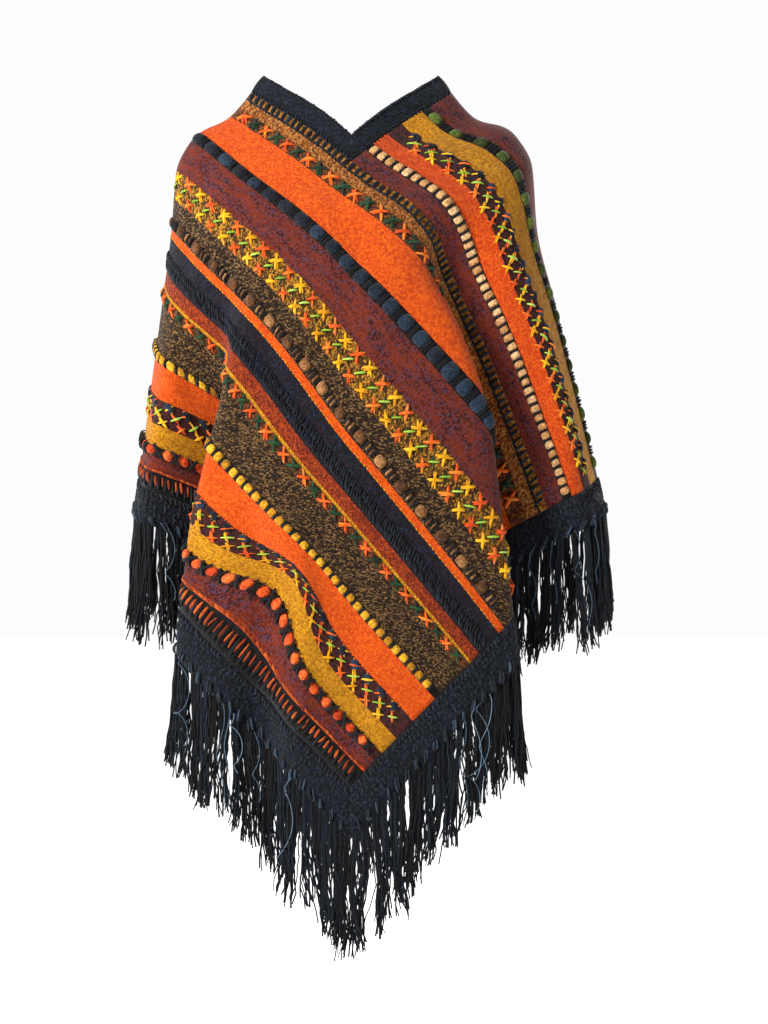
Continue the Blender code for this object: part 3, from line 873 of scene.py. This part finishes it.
@dataclass
class Panel:
    """The front or back panel: a square of striped cloth less its quarter of the neck opening."""

    drape: Drape
    face: Face
    cell: float = 0.0054
    reach: float = SIDE - BORDER - GAP
    neck: float = NECK_CUT

    def across(self) -> tuple[np.ndarray, list[Wool]]:
        """Return the rows' places across the stripes, on every stripe's edges, and each row's finish."""
        rows, wools, low = [0.0], [], 0.0
        for high, wool in (*SHOULDER_STRIPES, *STRIPES):
            high = self.neck if abs(high - self.neck) < 0.001 else min(high, self.reach)
            steps = max(1, round((high - low) / self.cell))
            rows += list(low + (high - low) * np.arange(1, steps + 1) / steps)
            wools += [wool] * steps
            low = high
        return np.array(rows), wools

    def build(self) -> bpy.types.Object:
        """Build the closed shell: the flat grid less the neck square, carried out and in by half a wall."""
        q, wools = self.across()
        inner = np.linspace(0, self.neck, 35)
        p = np.concatenate([inner, np.linspace(self.neck, self.reach, 105)[1:]])
        p_grid, q_grid = np.meshgrid(p, q)
        p_grid = np.maximum(p_grid, GAP / 2)
        q_grid = np.maximum(q_grid, GAP / 2)
        piece = Piece(f"{self.face.value}_cloth", "striped_wool")
        numbers = np.array([piece.index(w) for w in wools])
        at = np.arange(p_grid.size).reshape(p_grid.shape)
        kept = ~((p_grid[:-1, :-1] < self.neck - 1e-6) & (q_grid[:-1, :-1] < self.neck - 1e-6))
        quads = np.stack([at[:-1, :-1], at[:-1, 1:], at[1:, 1:], at[1:, :-1]], axis=-1)[kept]
        own = np.broadcast_to(numbers[:, None], kept.shape)[kept]
        used, compact = np.unique(quads, return_inverse=True)
        quads = compact.reshape(quads.shape)
        p_flat, q_flat = p_grid.ravel()[used], q_grid.ravel()[used]
        outer, inside = (self.drape.place(p_flat, q_flat, off, self.face, True)
                         for off in (WALL / 2, -WALL / 2))
        piece.shell(outer, inside, np.stack([p_flat, q_flat], axis=1), quads, own)
        return piece.write(f"{self.face.value}_panel")


@dataclass
class Embroidery:
    """All the yarn laid on one panel, stripe by stripe."""

    drape: Drape
    face: Face
    seed: int
    start: float = 0.003
    stop: float = 0.662
    pieces: list[bpy.types.Object] = field(default_factory=list)

    def __post_init__(self) -> None:
        """Thread the needle."""
        self.needle = Needle(self.drape, self.face, np.random.default_rng(self.seed), True)

    def open(self, name: str) -> Piece:
        """Start a piece of this panel."""
        return Piece(f"{self.face.value}_{name}", "striped_wool")

    def lay(self, piece: Piece, centres: np.ndarray, *bars: Bar) -> None:
        """Lay each kind of bar at each place."""
        for bar in bars:
            self.needle.lay(piece, centres, bar)

    def row(self, pitch: float, q: float, offset: float = 0.0) -> np.ndarray:
        """Return places along the whole stripe, or from the neck down where the stripe starts there."""
        return places(NECK_CUT + 0.002 if q < NECK_CUT else self.start, self.stop, pitch, q, offset)

    def ladder(self) -> None:
        """Lay slanting blue-black bars along the neck side, and a navy line below them."""
        piece = self.open("ladder")
        self.lay(piece, self.row(0.0086, 0.1698), Bar(Wool.LADDER_BLACK, 80, 0.0112, 0.0044, 0.0036, 0.0014,
                                                      blunt=5, loose=1.6))
        self.lay(piece, self.row(0.0050, 0.1752), Bar(Wool.NAVY_YARN, 14, 0.0062, 0.0022, 0.0022, 0.0008))
        self.pieces.append(piece.write())

    @staticmethod
    def star(wool: Wool, size: float) -> tuple[Bar, ...]:
        """Return the four pointed strands of a cross: a fanned pair each way."""
        return (Bar(wool, 39, size, 0.0036, 0.0026, 0.0013, blunt=1.7, loose=1.6),
                Bar(wool, 51, size * 0.94, 0.0036, 0.0026, 0.0018, blunt=1.7, loose=1.6),
                Bar(wool, -40, size * 0.98, 0.0036, 0.0026, 0.0026, blunt=1.7, loose=1.6),
                Bar(wool, -52, size * 0.88, 0.0036, 0.0026, 0.0030, blunt=1.7, loose=1.6))

    def crosses(self) -> None:
        """Lay the two rows of orange and green crosses, with arms at 45 degrees to the stripe."""
        piece = self.open("crosses")
        for q, pitch, size in ((0.1950, 0.0180, 0.0225), (0.4425, 0.0170, 0.0215)):
            self.lay(piece, self.row(2 * pitch, q),
                     *self.star(Wool.CROSS_ORANGE, size))
            self.lay(piece, self.row(2 * pitch, q, 0.5),
                     *self.star(Wool.CROSS_GREEN, size * 0.95))
        self.pieces.append(piece.write())

    def stars(self) -> None:
        """Lay the band of yellow and orange stars with a lime dash between each four."""
        piece = self.open("stars")
        for q, offset, size in ((0.3035, 0.0, 0.0205), (0.3245, 0.25, 0.0190)):
            for wool, turn in ((Wool.CROSS_YELLOW, 0.0), (Wool.CROSS_ORANGE, 0.5)):
                self.lay(piece, self.row(0.0420, q, turn + offset), *self.star(wool, size))
        self.lay(piece, self.row(0.0210, 0.3140, 0.30),
                 Bar(Wool.CROSS_GREEN, 45, 0.0120, 0.0024, lift=0.0010),
                 Bar(Wool.LIME, -45, 0.0150, 0.0024, lift=0.0022))
        self.pieces.append(piece.write())

    def beads(self) -> None:
        """Lay the looped cords: thick puffs of yarn held down by black wraps between them."""
        piece = self.open("bead_cords")
        navy, tan, gold, orange = 0.0240, 0.0350, 0.0125, 0.0190    # from puff to puff
        round_ = {"rings": 8, "sides": 8, "loose": 0.7}
        self.lay(piece, self.row(navy, 0.2510),
                 Bar(Wool.NAVY_BEAD, 0, 0.0195, 0.0135, 0.0070, 0.0014, blunt=3.0, **round_))
        self.lay(piece, self.row(navy, 0.2510, 0.5),
                 Bar(Wool.BLACK, 90, 0.0125, 0.0028, 0.0052, 0.0016, 2, 0.0030, 4))
        # Tan cord: a puff, then small segments between three black bars.
        self.lay(piece, self.row(tan, 0.3580),
                 Bar(Wool.TAN_BEAD, 0, 0.0150, 0.0130, 0.0060, 0.0012, blunt=4.0, **round_))
        self.lay(piece, self.row(tan, 0.3580, 0.5),
                 Bar(Wool.TAN_BEAD, 90, 0.0110, 0.0040, 0.0050, 0.0010, 2, 0.0062, 5),
                 Bar(Wool.BLACK, 97, 0.0138, 0.0030, 0.0058, 0.0016, 3, 0.0062, 5))
        self.lay(piece, self.row(gold, 0.5048),
                 Bar(Wool.GOLD_BEAD, 0, 0.0108, 0.0122, 0.0058, 0.0014, blunt=5, **round_))
        self.lay(piece, self.row(gold, 0.5048, 0.5),
                 Bar(Wool.BLACK, 94, 0.0135, 0.0036, 0.0062, 0.0018, blunt=5))
        self.lay(piece, self.row(orange, 0.6185),
                 Bar(Wool.ORANGE_BEAD, 8, 0.0136, 0.0116, 0.0060, 0.0012, blunt=2.3, **round_))
        self.lay(piece, self.row(orange, 0.6185, 0.5),
                 Bar(Wool.BLACK, 56, 0.0205, 0.0034, 0.0030, 0.0040, blunt=4, loose=1.6),
                 Bar(Wool.BLACK, -56, 0.0205, 0.0034, 0.0030, 0.0048, blunt=4, loose=1.6))
        self.pieces.append(piece.write())

    def shoulder_cords(self) -> None:
        """Lay the peach and moss cords of the left shoulder side."""
        piece = self.open("shoulder_cords")
        round_ = {"rings": 8, "sides": 8, "loose": 0.7}
        self.lay(piece, self.row(0.0115, 0.1365),
                 Bar(Wool.PEACH_BEAD, 0, 0.0100, 0.0120, 0.0058, 0.0014, blunt=5, **round_))
        self.lay(piece, self.row(0.0115, 0.1365, 0.5),
                 Bar(Wool.BLACK, 92, 0.0135, 0.0036, 0.0060, 0.0018, blunt=5))
        self.lay(piece, self.row(0.0290, 0.0440),
                 Bar(Wool.GREEN_BEAD, 0, 0.0165, 0.0125, 0.0068, 0.0016, blunt=2.8, **round_))
        self.lay(piece, self.row(0.0290, 0.0440, 0.5),
                 Bar(Wool.BLACK, 90, 0.0125, 0.0030, 0.0055, 0.0018, 3, 0.0036, 4))
        self.pieces.append(piece.write())

    def lattices(self) -> None:
        """Lay the two netted bands: three staggered rows of small crosses, with navy tufts above."""
        piece = self.open("lattices")
        pitch = 0.0205
        for q in (0.5712, 0.0925):
            for line, offset, pair in ((q - 0.0100, 0.0, (Wool.CROSS_YELLOW, Wool.CROSS_ORANGE)),
                                       (q + 0.0004, 0.35, (Wool.LIME, Wool.LIME)),
                                       (q + 0.0108, 0.70, (Wool.CROSS_ORANGE, Wool.CROSS_YELLOW))):
                for turn, wool in enumerate(pair):
                    upright = (Wool.CROSS_ORANGE, Wool.CROSS_YELLOW)[turn] if wool is Wool.LIME else wool
                    self.lay(piece, self.row(2 * pitch, line, (turn + offset) / 2),
                             Bar(upright, 45, 0.0150, 0.0028, lift=0.0012,
                                 strands=2, spacing=0.0016, blunt=2.0, loose=1.6),
                             Bar(wool, -45, 0.0165, 0.0028, lift=0.0022, blunt=2.0, loose=2.0))
            self.lay(piece, self.row(pitch, q - 0.0105, 0.5),
                     Bar(Wool.NAVY_BEAD, 30, 0.0125, 0.0100, 0.0045, 0.0008, blunt=3.4, rings=7, sides=7))
        self.pieces.append(piece.write())

    def lines(self) -> None:
        """Lay the thin picked lines beside stripes and the raised slanting half of the navy stripe."""
        piece = self.open("picked_lines")
        picks = ((Wool.CROSS_YELLOW, 0.3752, 0.0056, 0.0034), (Wool.BLACK, 0.3766, 0.0042, 0.0032),
                 (Wool.CROSS_YELLOW, 0.4330, 0.0042, 0.0030), (Wool.BLACK, 0.5552, 0.0040, 0.0030),
                 (Wool.BLACK, 0.1045, 0.0050, 0.0034))
        for wool, q, pitch, length in picks:
            self.lay(piece, self.row(pitch, q),
                     Bar(wool, 6, length, 0.0013, 0.0012, 0.0003, rings=4, sides=4))
        for q, angle in ((0.3985, 64), (0.4075, 56)):
            self.lay(piece, self.row(0.0037, q), Bar(Wool.NAVY_YARN, angle, 0.0118, 0.0026, 0.0030, 0.0012,
                                                     blunt=2.6, rings=5, sides=5, loose=2.2))
        self.pieces.append(piece.write())

    def comb(self) -> None:
        """Lay the blanket stitch above the border: rust and black teeth under a rust line."""
        piece = self.open("hem_comb")
        pitch = 0.0076
        self.lay(piece, self.row(pitch, 0.6415), Bar(Wool.TEETH, 6, 0.0096, 0.0028, 0.0024, 0.0010))
        self.lay(piece, self.row(pitch, 0.6515),
                 Bar(Wool.TEETH, 82, 0.0125, 0.0034, 0.0028, 0.0016, blunt=3, loose=2))
        self.lay(piece, self.row(pitch, 0.6545, 0.5),
                 Bar(Wool.BLACK, 86, 0.0165, 0.0034, 0.0034, 0.0014, blunt=3, loose=2))
        self.pieces.append(piece.write())

    def build(self) -> list[bpy.types.Object]:
        """Work every stripe of the panel."""
        for work in (self.ladder, self.crosses, self.stars, self.beads, self.shoulder_cords, self.lattices,
                     self.lines, self.comb):
            work()
        return self.pieces


# ---- bands and fringe ----------------------------------------------------------------------------
@dataclass
class Band:
    """A navy strip from the front point, round one side of the body, to the back point, mitred at both."""

    drape: Drape
    hand: Hand
    name: str
    low: float
    high: float
    seed: int
    crown: float = 0.0012       # how much thicker the strip is along its middle
    mitre: float = 0.00005      # the sewn mitre's clear gap
    rows: int = 9
    columns: int = 150

    def flat(self, size: np.ndarray, share: np.ndarray) -> tuple[np.ndarray, np.ndarray]:
        """Return p and q at a distance from the shoulder line that faces the strip, and a share along it."""
        return (size, size * share) if self.hand is Hand.LEFT else (size * share, size)

    def ground(self, piece: Piece) -> None:
        """Gather the strip's shell; its thickness swells by a sine across it."""
        size = np.linspace(self.low, self.high, self.rows)[:, None]
        swell = self.crown * np.sin(np.linspace(0, pi, self.rows))[:, None]
        share = np.linspace(1 - self.mitre / self.high, self.mitre / self.high, self.columns)[None, :]
        p, q = self.flat(size, share)
        p, q, swell = np.broadcast_arrays(p, q, swell)
        sheets = []
        for sign in (1, -1):
            off = sign * WALL / 2 + swell * (1.0 if sign > 0 else -0.3)
            front, back = (self.drape.place(p, q, off, face) for face in Face)
            sheets.append(np.concatenate([front, back[:, ::-1]], axis=1).reshape(-1, 3))
        wide = 2 * self.columns
        at = np.arange(self.rows * wide).reshape(self.rows, wide)
        quads = np.stack([at[:-1, :-1], at[:-1, 1:], at[1:, 1:], at[1:, :-1]], axis=-1).reshape(-1, 4)
        run = np.concatenate([-share[0], share[0, ::-1]])
        flat = np.stack(np.broadcast_arrays(size * run[None, :], size + 0 * run[None, :]), axis=-1)
        flat = flat.reshape(-1, 2)
        piece.shell(sheets[0], sheets[1], flat, quads, np.full(len(quads), piece.index(Wool.NAVY_KNIT)))

    def along(self, size: float, pitch: float, offset: float = 0.0, inset: float = 0.004) -> np.ndarray:
        """Return flat places at an even pitch along the strip, n by 2."""
        run = np.arange(inset + pitch * offset, size - inset, pitch)
        p, q = self.flat(np.full(len(run), size), run / size)
        return np.stack([p, q], axis=1)


@dataclass
class Neckband(Band):
    """The dense knitted band round the neck."""

    def build(self) -> bpy.types.Object:
        """Build the band with a firm whipped line on its free edge and its seam."""
        piece = Piece(f"{self.name}_knit", "navy_wool")
        self.ground(piece)
        across = 0 if self.hand is Hand.LEFT else 90
        for face in Face:
            needle = Needle(self.drape, face, np.random.default_rng(self.seed))
            for size, pitch, lean in ((self.low + 0.002, 0.0040, 35), (self.high - 0.0015, 0.0046, -30)):
                needle.lay(piece, self.along(size, pitch),
                           Bar(Wool.NAVY_YARN, across + lean, 0.0058, 0.0026, 0.0024, 0.0010, rings=5,
                               sides=5))
        return piece.write(self.name)


@dataclass
class Border(Band):
    """The thick navy strip along the hem, with slanting whip stitches and the fringe's knots."""

    knot_pitch: float = 0.0150
    stitch_pitch: float = 0.0052
    # Each row's distance from the seam, and its lean in degrees.
    rows_of_stitches: tuple[tuple[float, int], ...] = (
        (0.004, 30), (0.009, -24), (0.014, 34), (0.019, -30), (0.024, 28), (0.029, -34))

    def build(self) -> bpy.types.Object:
        """Build the strip, six rows of fine crossed stitches and a knot over the edge for each bunch."""
        piece = Piece(f"{self.name}_knit", "navy_wool")
        self.ground(piece)
        across = 0 if self.hand is Hand.LEFT else 90
        turn = 1 if self.hand is Hand.LEFT else -1
        for face in Face:
            needle = Needle(self.drape, face, np.random.default_rng(self.seed + len(face.value)))
            for size, lean in self.rows_of_stitches:
                needle.lay(piece, self.along(self.low + size, self.stitch_pitch),
                           Bar(Wool.NAVY_YARN, across + turn * lean, 0.0082, 0.0028, 0.0022, 0.0012,
                               blunt=2.2, rings=4, sides=4, loose=3.0))
            needle.lay(piece, self.along(self.high - 0.0050, self.knot_pitch, 0.5),
                       Bar(Wool.KNOT, across + turn * 40, 0.0140, 0.0026, 0.0030, 0.0028, 2, 0.0026, 3,
                           loose=2.4))
        return piece.write(self.name)


@dataclass
class Fringe:
    """The hanging strands under one quarter of the hem, knotted in bunches."""

    drape: Drape
    hand: Hand
    face: Face
    seed: int
    bunch_pitch: float = 0.0150
    strands: int = 16
    radius: float = 0.00102
    flare: float = 0.008
    rings: int = 12
    sides: int = 4

    def hem(self, run: np.ndarray) -> tuple[np.ndarray, np.ndarray]:
        """Return the hem's points at lengths from the shoulder line, and level directions straight out."""
        size = np.full(run.shape, SIDE)
        p, q = (size, run) if self.hand is Hand.LEFT else (run, size)
        edge = self.drape.place(p, q, 0.0, self.face)
        out = self.drape.place(p, q, 1.0, self.face) - edge
        out[..., 2] = 0
        return edge, out / np.linalg.norm(out, axis=-1, keepdims=True)

    def hanging(self, piece: Piece, rng: np.random.Generator) -> None:
        """Gather the strands.

        At share s of its length a strand has fallen s times its length. It stands aside by its place in the
        knot, times 1 - s, plus its spread times s to the 1.3, plus a slow wave that grows downwards, and it
        stands out by the flare times s, its layer and another wave. Its sides are a level circle.
        """
        bunches = np.arange(self.bunch_pitch / 2, SIDE - 0.002, self.bunch_pitch)
        n = len(bunches) * self.strands
        bunch = np.repeat(bunches, self.strands)
        s = np.linspace(0, 1, self.rings)[None, :]
        reach = np.repeat(rng.uniform(0.90, 1.02, len(bunches)), self.strands) * rng.uniform(0.84, 1.0, n)
        start = rng.uniform(-0.0040, 0.0040, n)[:, None]
        spread = (np.repeat(rng.normal(0, 0.0060, len(bunches)), self.strands)[:, None]
                  + rng.normal(0, 0.0048, (n, 1)))

        def waves(rows: int, size: float, turns: tuple[float, float]) -> np.ndarray:
            """Return a sine along each of some rows, of random size, turns and start."""
            return rng.uniform(0.3 * size, size, (rows, 1)) * np.sin(
                2 * pi * (s * rng.uniform(*turns, (rows, 1)) + rng.uniform(0, 1, (rows, 1))))

        wave = (np.repeat(waves(len(bunches), 0.0046, (0.5, 1.4)), self.strands, axis=0)
                + waves(n, 0.0034, (0.8, 2.4)))
        kink = waves(n, 0.0012, (3.0, 6.5))
        aside = start * (1 - 0.6 * s) + spread * s ** 1.3 + wave * s ** 0.8 + kink
        layer = rng.uniform(-0.0030, 0.0034, (n, 1))
        out_by = layer * (0.5 + 0.5 * s) + self.flare * 0.7 * s + 0.7 * np.roll(wave, 3, axis=0) * s
        run = np.clip(bunch[:, None] + start * 0.4, 0.002, SIDE - 0.002)
        edge, out = self.hem(run)
        level = np.stack([-out[..., 1], out[..., 0], 0 * out[..., 0]], axis=-1)
        path = edge + level * aside[..., None] + out * out_by[..., None]
        path[..., 2] += 0.004 - s * FRINGE * reach[:, None]
        girth = self.radius * rng.uniform(0.75, 1.25, (n, 1)) * (1.0 - 0.25 * s)
        theta = np.arange(self.sides) / self.sides * 2 * pi
        circle = np.stack([np.cos(-theta), np.sin(-theta), 0 * theta], axis=-1)
        points = path[:, :, None] + girth[:, :, None, None] * circle
        length = (s * FRINGE)[..., None] + 0 * girth[..., None]
        flat = np.stack(np.broadcast_arrays(length, (theta * self.radius)[None, None, :]), axis=-1)
        tone = np.repeat(rng.normal(0.42, 0.16, len(bunches)), self.strands) + rng.normal(0, 0.2, n)
        tone = np.clip(tone, 0, 1)
        piece.tubes(points, flat, tone, Wool.FRINGE_YARN)

    def stray(self, piece: Piece, rng: np.random.Generator, count: int = 16) -> None:
        """Gather thin loose threads that curl down in front: a falling line plus a growing circle."""
        s = np.linspace(0, 1, 40)[None, :]
        run = np.repeat(rng.uniform(0.04, SIDE - 0.03, (count, 1)), s.size, axis=1)
        edge, out = self.hem(run)
        level = np.stack([-out[..., 1], out[..., 0], 0 * out[..., 0]], axis=-1)
        turn = 2 * pi * (s * rng.uniform(0.6, 1.7, (count, 1)) + rng.uniform(0, 1, (count, 1)))
        curl = rng.uniform(0.004, 0.013, (count, 1)) * np.sin(pi * s) ** 0.6
        aside = curl * np.sin(turn) + rng.normal(0, 0.008, (count, 1)) * s
        fall = 0.003 - s * FRINGE * rng.uniform(0.45, 0.85, (count, 1)) + curl * np.cos(turn)
        path = edge + level * aside[..., None] + out * (0.0055 + 0.003 * s)[..., None]
        path[..., 2] += fall
        way = np.gradient(path, axis=1)
        way /= np.linalg.norm(way, axis=-1, keepdims=True)
        across = np.cross(way, out)
        across /= np.linalg.norm(across, axis=-1, keepdims=True)
        theta = (np.arange(4) / 4 * 2 * pi)[None, None, :, None]
        circle = across[:, :, None] * np.cos(theta) + out[:, :, None] * np.sin(theta)
        points = path[:, :, None] + 0.00042 * circle
        flat = np.stack(np.broadcast_arrays(s[..., None] * FRINGE,
                                            0.0004 * theta[..., 0] + 0 * run[..., None]), axis=-1)
        piece.tubes(points, flat, rng.uniform(0.2, 1, count), Wool.STRAY)

    def build(self) -> bpy.types.Object:
        """Build this quarter's strands and stray threads."""
        rng = np.random.default_rng(self.seed)
        name = f"fringe_{self.face.value}_{self.hand.value}"
        piece = Piece(f"{name}_strands", "navy_strands")
        self.hanging(piece, rng)
        self.stray(piece, rng)
        return piece.write(name)


# ---- the studio ----------------------------------------------------------------------------------
@dataclass
class Studio:
    """A plain pale floor, soft light from the upper left and a level camera in front."""

    floor_level: float = -1.40
    eye: tuple[float, float, float] = (0.037, -2.70, -0.506)
    lens: float = 81.8

    def light(self, name: str, place: tuple[float, float, float], size: float, power: float) -> None:
        """Add a square soft light that faces the middle of the cloth."""
        lamp = bpy.data.lights.new(name, "AREA")
        lamp.size, lamp.energy = size, power
        made = bpy.data.objects.new(name, lamp)
        made.location = place
        aim = np.array([0.0, 0.0, -0.45]) - np.array(place)
        level = np.hypot(aim[0], aim[1])
        made.rotation_euler = (np.arctan2(level, -aim[2]), 0.0, np.arctan2(-aim[0], aim[1]))
        bpy.context.collection.objects.link(made)

    def build(self) -> None:
        """Set up the floor, the lights and the camera."""
        across = 14.0
        corners = [(x * across, y * across, self.floor_level)
                   for x, y in ((-1, -1), (1, -1), (1, 1), (-1, 1))]
        mesh = bpy.data.meshes.new("floor")
        mesh.from_pydata(corners, [], [(0, 1, 2, 3)])
        floor = bpy.data.objects.new("floor", mesh)
        bpy.context.collection.objects.link(floor)
        paper = bpy.data.materials.new("matt_white_paper")
        paper.use_nodes = True
        surface = paper.node_tree.nodes["Principled BSDF"]
        surface.inputs["Base Color"].default_value = linear("F4F4F2")
        surface.inputs["Roughness"].default_value = 0.95
        surface.inputs["Emission Color"].default_value = linear("FFFFFF")
        # The paper glows as painted light, weakly near the cloth and fully further away, so that its far part
        # is clean white.
        spot = add_node(paper.node_tree, "ShaderNodeTexCoord").outputs["Object"]
        away = add_node(paper.node_tree, "ShaderNodeVectorMath", {"operation": "LENGTH"}, {0: spot})
        painted_glow = add_node(paper.node_tree, "ShaderNodeMapRange",
                       {"From Min": 1.7, "From Max": 2.3, "To Min": 0.30, "To Max": 1.0},
                       {"Value": away.outputs["Value"]})
        paper.node_tree.links.new(painted_glow.outputs[0], surface.inputs["Emission Strength"])
        mesh.materials.append(paper)
        world = bpy.data.worlds.new("studio")
        world.use_nodes = True
        back = world.node_tree.nodes["Background"]
        back.inputs["Color"].default_value = linear("FFFFFF")
        # A bright band all round at eye level, dimmer above and below it, so that folds keep their shade.
        way = add_node(world.node_tree, "ShaderNodeTexCoord").outputs["Generated"]
        parts = add_node(world.node_tree, "ShaderNodeSeparateXYZ", {}, {"Vector": way})
        size = add_node(world.node_tree, "ShaderNodeMath", {"operation": "ABSOLUTE"}, {0: parts.outputs["Z"]})
        glow = add_node(world.node_tree, "ShaderNodeMapRange",
                        {"From Min": 0.22, "From Max": 0.32, "To Min": 0.98, "To Max": 0.12},
                        {"Value": size.outputs[0]})
        front = add_node(world.node_tree, "ShaderNodeMapRange",
                         {"From Min": -0.3, "From Max": 0.4, "To Min": 0.45, "To Max": 1.0},
                         {"Value": parts.outputs["Y"]})
        both = add_node(world.node_tree, "ShaderNodeMath", {"operation": "MULTIPLY"},
                        {0: glow.outputs[0], 1: front.outputs[0]})
        world.node_tree.links.new(both.outputs[0], back.inputs["Strength"])
        bpy.context.scene.world = world
        bpy.context.scene.view_settings.view_transform = "Standard"
        self.light("key", (-2.3, -2.1, 1.3), 1.0, 190.0)
        self.light("back_fill", (1.8, 2.6, 1.4), 1.6, 110.0)
        lens = bpy.data.cameras.new("camera")
        lens.sensor_fit, lens.sensor_height, lens.lens = "VERTICAL", 36.0, self.lens
        camera = bpy.data.objects.new("camera", lens)
        camera.location, camera.rotation_euler = self.eye, (pi / 2, 0.0, 0.0)
        bpy.context.collection.objects.link(camera)
        bpy.context.scene.camera = camera


def main() -> None:
    """Build the poncho on its frame, dress it and set up the studio."""
    logging.basicConfig(level=logging.INFO, format="%(name)s %(message)s")
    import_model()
    drape = Drape()
    bands = [kind(drape, hand, f"{name}_{hand.value}", low, high, seed + 10 * number)
             for number, hand in enumerate(Hand)
             for kind, name, low, high, seed in ((Neckband, "neckband", NECK_TOP, NECK_CUT - GAP, 21),
                                                 (Border, "border", SIDE - BORDER, SIDE, 22))]
    strips = {band.name: band.build() for band in bands}
    for number, face in enumerate(Face):
        cloth = Panel(drape, face).build()
        parts = Embroidery(drape, face, 40 + number).build()
        parts += [Fringe(drape, hand, face, 60 + 2 * number + k).build() for k, hand in enumerate(Hand)]
        if face is Face.FRONT:
            parts += list(strips.values())
    Studio().build()


if __name__ == "__main__":
    main()
